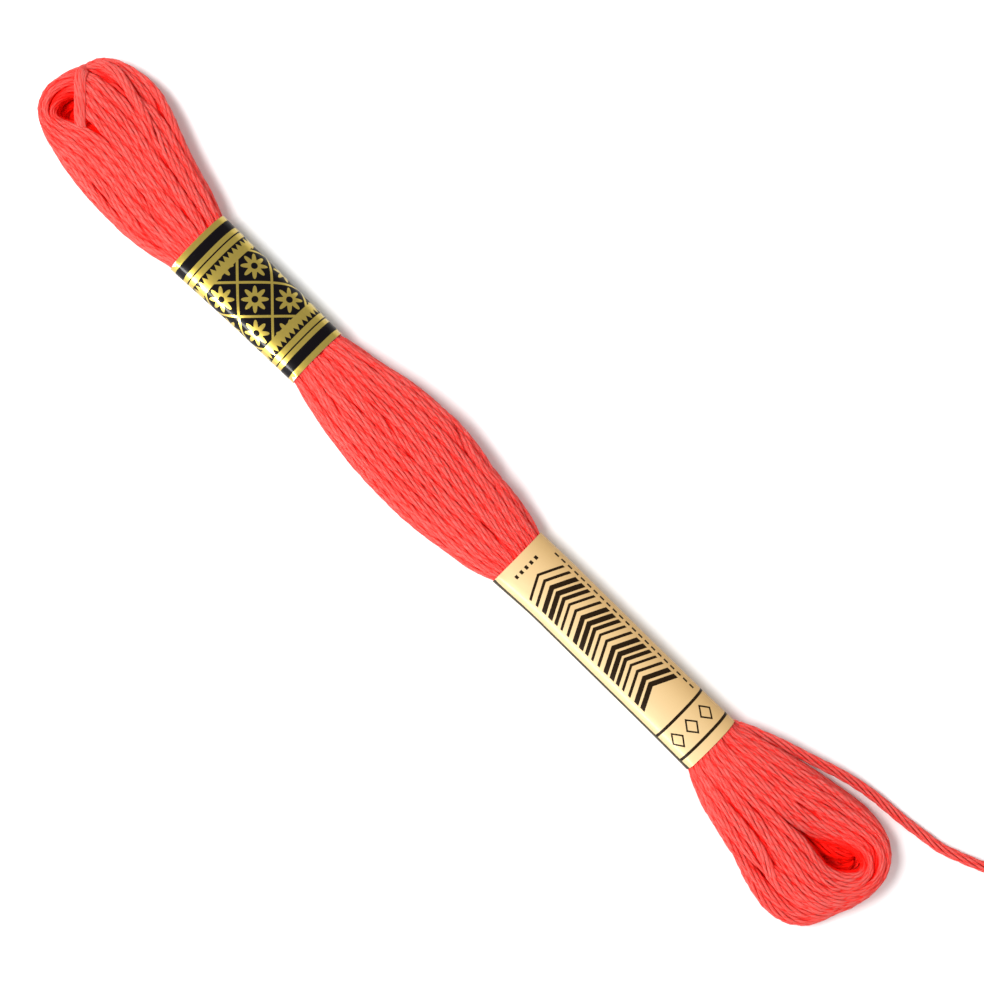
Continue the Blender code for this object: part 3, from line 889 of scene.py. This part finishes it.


def make_under_loops(floss):
    """Tight turns of the skein beneath its eyes: nested U's, of which each point is the
    middle line's point + half width across, with the half width closing round the tip."""
    paths = []
    for x, y, tip_x, tip_y, height in UNDER_LOOPS:
        half = UNDER_STEP * (np.arange(UNDER_COUNT) + 0.5)[:, None]
        way = np.linspace(-1, 1, UNDER_POINTS)
        turn = np.clip((np.abs(way) - UNDER_TIP) / (1 - UNDER_TIP), 0, 1)
        round_tip = np.clip(way / UNDER_TIP, -1, 1) * math.pi / 2
        middle_x = tip_x + (x - tip_x) * turn
        middle_y = tip_y + (y - tip_y) * turn
        reach = math.copysign(1, tip_x) * (half * np.cos(round_tip) - UNDER_BACK)
        level = height + UNDER_SWAY * np.sin(way * UNDER_WAVES[0] + half * UNDER_WAVES[1])
        path = [middle_x + reach, middle_y + half * np.sin(round_tip), level]
        paths.append(np.stack(path, -1))
    radius = STRAND_RADIUS * UNDER_FULLNESS
    loops = tubes("under_loops", np.concatenate(paths), radius, floss, UNDER_OPEN)
    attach(loops, "root")
    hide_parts("skein")


def make_strap(floss):
    """The strands lie side by side: point + half width s across + dome (1 - s squared) up,
    where s goes from -1 to 1 over the strands and sways a little along them."""
    path = flowing(STRAP, STRAP_POINTS)
    across, up = frames(path)
    way = travelled(path)
    half = np.interp(way, (0, way[-1]), STRAP_HALF)
    side = np.linspace(-1, 1, STRANDS)[:, None] + STRAP_SWAY * np.sin(way * STRAP_WAVE)
    side, half = side[..., None], half[:, None]
    strands = path + half * side * across + STRAP_DOME * (1 - side * side) * up
    strap = tubes("strap", strands, STRAND_RADIUS * STRAP_FULLNESS, floss)
    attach(strap, "root")
    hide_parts("skein")


# ---- the bands

ALONG, ROUND = 49, 141  # points of a band's paper along it and round it
LAP = 36.0  # degrees by which the paper laps over itself, underneath
LAP_EASE = 20  # degrees in which the upper layer comes down behind the lap
SEAM = -108.0  # where its outer edge lies, in degrees from the +Y side
CORNER = 137.0  # where a mouth's cut edge is pressed outwards, counted in the same way
FLARE, FLARE_LENGTH, FLARE_SPAN = 0.22, 0.7, 9.0  # how far, how long and over what angle
CREASE = 50  # degrees from which an edge of the paper is sharp

OFF = -100.0  # the place on the map of paper with nothing printed on it
PALE_CORNER = 4.75  # how far round from the top a mouth's corner is made pale, in raw paper's colour
GOLD = (0.55, 0.41, 0.074, 1)
GOLD_HOLLOW_SHADE = (*(c * 0.86 for c in GOLD[:3]), 1)  # painted shade in the hollows of its grain
# The second colour is painted shade: the paper darker towards its plus Y side, away from the
# lamps.
CREAM_TOP, CREAM_SHADED_SIDE = (0.70, 0.51, 0.27, 1), (0.58, 0.36, 0.14, 1)
RAW_PAPER = (0.80, 0.78, 0.73, 1)
BLACK_INK, BROWN_INK = (0.002, 0.001, 0.002, 1), (0.010, 0.004, 0.001, 1)
EDGE_INK = (0.030, 0.027, 0.012, 1)
PAPER_RELIEF = 0.02

# Prints, in millimetres from the nearer mouth for the short band and from the short end's
# mouth for the long one, and in millimetres round from the top.
STRIPES = ((0.9, 2.45), (3.2, 3.42))
TEETH, TOOTH_HALF, TOOTH_SLOPE = (4.3, 5.3), 0.44, 2.0
TRELLIS_FROM, TRELLIS_STEP, TRELLIS_LINE = 6.35, 7.04, 0.462  # its line starts at this share
STAR, STAR_EYE, RAY, RAYS = 1.5, 0.5, 0.5, 8  # radii of a star and of its middle
BARS, BAR_STEP, BAR_SLANT = (3.7, 27.45), 1.25, 0.5
BAR_MIDDLE, BAR_HALF = 0.35, 3.6
BAR_WIDTH, BAR_SWELL, BAR_WAVE = 0.66, 0.24, 6.25  # they widen and narrow in waves
DOTS, DOTS_ALONG, DOTS_ROUND = (0.5, 0.24), (1.7, 2.3), (-2.5, 2.5)  # half step, half width
DASHES, DASHES_ALONG, DASHES_ROUND = (0.65, 0.4), (3.3, 31.8), (4.45, 4.8)
FRAME_LINES, FRAME_ROUND = ((32.5, 32.95), (37.45, 37.9)), (-5.0, 7.0)
LOZENGE, LOZENGES_ROUND = (35.2, 0.2), (-4.15, 4.55)
LOZENGE_HALF, LOZENGE_STEP_HALF, LOZENGE_LINE = (1.5, 1.15), 1.45, (0.72, 1.0)
EDGE_LINE = (-7.4, -4.95)


def oval(angle, edges, inset):
    """Points of a full oval in Y and Z: middle + half size * sign(c) |c|^(2 / squareness),
    where c is the angle's cosine for Y and its sine for Z."""
    low, high, under, top = (edge[:, None] for edge in edges)
    bend = [np.sign(c) * np.abs(c) ** (2 / SQUARENESS) for c in (np.cos(angle), np.sin(angle))]
    y = (low + high) / 2 + ((high - low) / 2 - inset) * bend[0]
    z = (under + top) / 2 + ((top - under) / 2 - inset) * bend[1]
    return y, z


def paper_band(name, sections, finish, node):
    """A strip of paper wound once round the oval and lapped over itself: its face and its
    back are grids, joined along all four edges. UV map: millimetres from the mouth at the
    short end, and millimetres round from the top; the back and the cut edges lie far off."""
    x = np.linspace(sections[0][0], sections[-1][0], ALONG)
    places, *edges = np.array(sections).T
    edges = [eased(x, places, values) for values in edges]
    degrees = np.linspace(0, 360 + LAP, ROUND)
    angle = np.radians(SEAM - LAP + degrees)
    beneath = (PAPER + SLACK) * (1 - smoothstep((degrees - LAP) / LAP_EASE))
    off_corner = (SEAM - LAP + degrees - CORNER + 180) % 360 - 180
    from_mouth = np.minimum(x - x[0], x[-1] - x)[:, None]
    flare = FLARE * np.exp(-((off_corner / FLARE_SPAN) ** 2) - (from_mouth / FLARE_LENGTH) ** 2)
    grids = []
    for depth in (0.0, PAPER):
        y, z = oval(angle, edges, beneath - flare + depth)
        grids.append(np.stack([np.broadcast_to(x[:, None], y.shape), y, z], -1))
    cell = np.arange(ALONG * ROUND).reshape(ALONG, ROUND)
    face = np.stack([cell[:-1, :-1], cell[1:, :-1], cell[1:, 1:], cell[:-1, 1:]], -1)
    rim = np.concatenate([cell[0, :-1], cell[:-1, -1], cell[-1, :0:-1], cell[:, 0][::-1]])
    edge = np.stack([rim[:-1], rim[1:], rim[1:] + cell.size, rim[:-1] + cell.size], -1)
    back = face.reshape(-1, 4)[:, ::-1] + cell.size
    faces = np.concatenate([face.reshape(-1, 4), back, edge])
    round_it = travelled(grids[0])
    round_it -= round_it[:, [np.argmin(np.abs(angle - math.pi / 2))]]
    numbers = np.stack([grids[0][..., 0] - x[0], -round_it], -1).reshape(-1, 2)
    unprinted = np.full((faces.size - face.size, 2), OFF)
    numbers = np.concatenate([numbers[face.reshape(-1)], unprinted])
    band = surface(name, np.stack(grids), faces, finish, [("paper", numbers)])
    band.data.set_sharp_from_angle(angle=math.radians(CREASE))
    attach(band, "root")
    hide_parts(node)


def between(value, low, high):
    """1 where the value lies between low and high."""
    return (value > low) * (value < high)


def gold_finish():
    """Gold foil with black stripes and a row of teeth near both mouths, and between them
    a trellis of eight-pointed stars on black. Each mouth's corner on the minus Y side is pale, in
    raw paper's colour."""
    gold = Finish("gold_paper", Coat_Roughness=0.14, Specular_IOR_Level=0.04)
    along, girth = gold.uv("paper")
    length = SHORT_BAND[-1][0] - SHORT_BAND[0][0]
    mouth = gold.maths("MINIMUM", along, length - along)
    stripes = gold.either(*(between(mouth, *stripe) for stripe in STRIPES))
    teeth = gold.maths("PINGPONG", girth, TOOTH_HALF)
    stripes = gold.either(stripes, between(mouth, TEETH[0], TEETH[1] - teeth * TOOTH_SLOPE))
    field = mouth > TRELLIS_FROM
    # A lozenge's own place: the two slanting counts of lozenges, each less its round number.
    down = (along - length / 2) / TRELLIS_STEP
    over = girth / TRELLIS_STEP
    counts = (down + over, down - over)
    first, second = (count - gold.maths("ROUND", count) for count in counts)
    local_x = (first + second) * (TRELLIS_STEP / 2)
    local_y = (first - second) * (TRELLIS_STEP / 2)
    span = gold.maths("SQRT", local_x * local_x + local_y * local_y)
    turn = gold.maths("ARCTAN2", local_y, local_x)
    ray = gold.maths("COSINE", turn * RAYS)
    star = (span < STAR + ray * RAY) * (span > STAR_EYE)
    slants = (gold.maths("ABSOLUTE", slant) for slant in (first, second))
    trellis = gold.maths("MAXIMUM", *slants) > TRELLIS_LINE
    black = gold.either(stripes, field * (1 - gold.either(star, trellis)))
    grain = gold.noise(gold.joined(along, girth), 2.2, 3.0)
    # a mouth's corner on the minus Y side is made pale, in raw paper's colour
    pale_corners = mouth + gold.maths("ABSOLUTE", girth + PALE_CORNER) * 0.7 + grain * 0.5 < 0.8
    printed = (along > OFF / 2) * (1 - pale_corners)
    ink = black * printed
    # painted shade: the foil is painted darker where its grain's relief is low
    foil = gold.mix(grain, GOLD_HOLLOW_SHADE, GOLD)
    tint = gold.mix(ink, gold.mix(printed, RAW_PAPER, foil), BLACK_INK)
    gold.wear(
        Base_Color=tint,
        Metallic=printed * (1 - ink) * 0.92,
        Roughness=0.62 - printed * 0.3 + grain * 0.08,
        Coat_Weight=printed * (0.45 - ink * 0.3),
    )
    gold.bump(grain * 0.6 - ink * 0.15, PAPER_RELIEF * MM, 0.5)
    return gold.material


def cream_finish():
    """Cream satin paper: a field of chevron bars, small stitch marks and a framed row of
    three open lozenges in dark brown, and a dark olive line along the minus Y edge."""
    cream = Finish("cream_paper", Coat_Roughness=0.2, Specular_IOR_Level=0.05)
    along, girth = cream.uv("paper")
    middle = girth - BAR_MIDDLE
    slant = along - cream.maths("ABSOLUTE", middle) * BAR_SLANT
    swell = cream.maths("SINE", slant * (math.tau / BAR_WAVE))
    bars = cream.maths("FLOORED_MODULO", slant, BAR_STEP) < BAR_WIDTH + swell * BAR_SWELL
    bars = bars * between(slant, *BARS) * between(middle, -BAR_HALF, BAR_HALF)
    dots = cream.maths("PINGPONG", girth, DOTS[0]) < DOTS[1]
    dots = dots * between(along, *DOTS_ALONG) * between(girth, *DOTS_ROUND)
    dashes = cream.maths("PINGPONG", along, DASHES[0]) < DASHES[1]
    dashes = dashes * between(girth, *DASHES_ROUND) * between(along, *DASHES_ALONG)
    stitches = cream.either(dots, dashes)
    cross = cream.either(*(between(along, *line) for line in FRAME_LINES))
    cross = cross * between(girth, *FRAME_ROUND)
    over = cream.maths("WRAP", girth - LOZENGE[1], LOZENGE_STEP_HALF, -LOZENGE_STEP_HALF)
    over = cream.maths("ABSOLUTE", over) / LOZENGE_HALF[1]
    lozenge = over + cream.maths("ABSOLUTE", along - LOZENGE[0]) / LOZENGE_HALF[0]
    lozenge = between(lozenge, *LOZENGE_LINE) * between(girth, *LOZENGES_ROUND)
    edge = between(girth, *EDGE_LINE)
    printed = along > OFF / 2
    ink = cream.either(bars, stitches, cross, lozenge) * printed
    grain = cream.noise(cream.joined(along * 0.7, girth), 3.0, 3.0)
    # painted shade: the paper is painted darker towards its plus Y side
    side = cream.maths("SMOOTH_MIN", (girth + 2.0) * 0.14, 1.0, 0.2)
    paper = cream.mix(side * printed, CREAM_TOP, CREAM_SHADED_SIDE)
    paper = cream.mix(printed, RAW_PAPER, cream.mix(grain * 0.12, paper, CREAM_TOP))
    tint = cream.mix(ink * (0.98 + grain * 0.02), paper, BROWN_INK)
    tint = cream.mix(edge * printed, tint, EDGE_INK)
    cream.wear(
        Base_Color=tint,
        Metallic=printed * (1 - ink) * 0.05,
        Roughness=0.42 + grain * 0.1,
        Coat_Weight=printed * (1 - ink) * 0.12,
    )
    cream.bump(grain * 0.7 - ink * 0.1, PAPER_RELIEF * MM, 0.4)
    return cream.material


def make_floor():
    """The white paper that the skein lies on."""
    side = FLOOR_SIDE / 2
    corners = np.array([(-side, -side, 0), (side, -side, 0), (side, side, 0), (-side, side, 0)])
    paper = Finish("floor", Base_Color=FLOOR_WHITE, Roughness=0.9, Specular_IOR_Level=0.1)
    floor = surface("floor", corners, np.arange(4), paper.material)


set_camera()
set_studio()
make_floor()
floss = floss_finish()
make_loose_end(floss)
make_skein(floss)
make_strap(floss)
make_under_loops(floss)
paper_band("short_paper", SHORT_BAND, gold_finish(), "band_short")
paper_band("long_paper", LONG_BAND, cream_finish(), "band_long")
